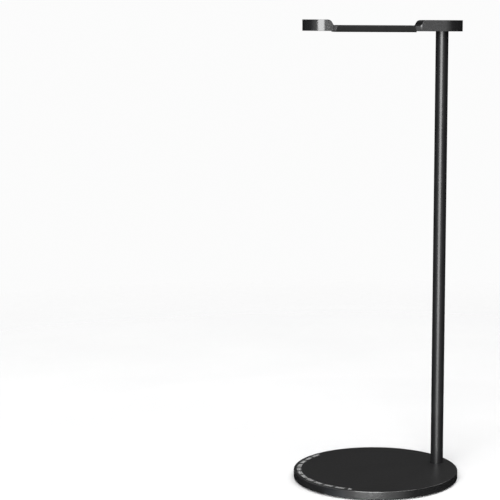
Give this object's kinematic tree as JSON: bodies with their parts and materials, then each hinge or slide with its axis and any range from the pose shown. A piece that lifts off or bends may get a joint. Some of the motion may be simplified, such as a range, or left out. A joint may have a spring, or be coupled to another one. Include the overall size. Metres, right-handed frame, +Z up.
{
  "type": "headphone stand",
  "caption": "Free-standing headphone stand: weighted round base, slim offset post and a flat round-ended arm with a recessed rubber-sleeved saddle.",
  "frame": {"origin": "centre of the round foot pad, on the surface that the stand rests on", "axes": "+Z up along the post; the post stands at +X; the arm runs from it over the base, towards -X and turned 14.4 degrees towards +Y; base and post are symmetric about the XZ plane"},
  "size_m": [0.1075, 0.104, 0.2885],
  "materials": {
    "base_metal": "satin black coating on steel",
    "post_metal": "satin black anodised",
    "arm_metal": "satin black anodised, fine blasted",
    "sleeve_rubber": "matte moulded rubber",
    "foot_rubber": "matte non-slip rubber",
    "adhesive": "double-sided adhesive film",
    "fastener_steel": "zinc-plated",
    "plug_steel": "turned"
  },
  "bodies": {
    "root": {"base_disc": "base_metal", "foot_pad": "foot_rubber", "foot_pad_adhesive": "adhesive", "base_screw": "fastener_steel", "post_tube": "post_metal", "post_lower_plug": "plug_steel", "post_upper_plug": "plug_steel", "arm_stud": "fastener_steel", "arm_bar": "arm_metal", "saddle_sleeve": "sleeve_rubber"}
  },
  "joints": []
}
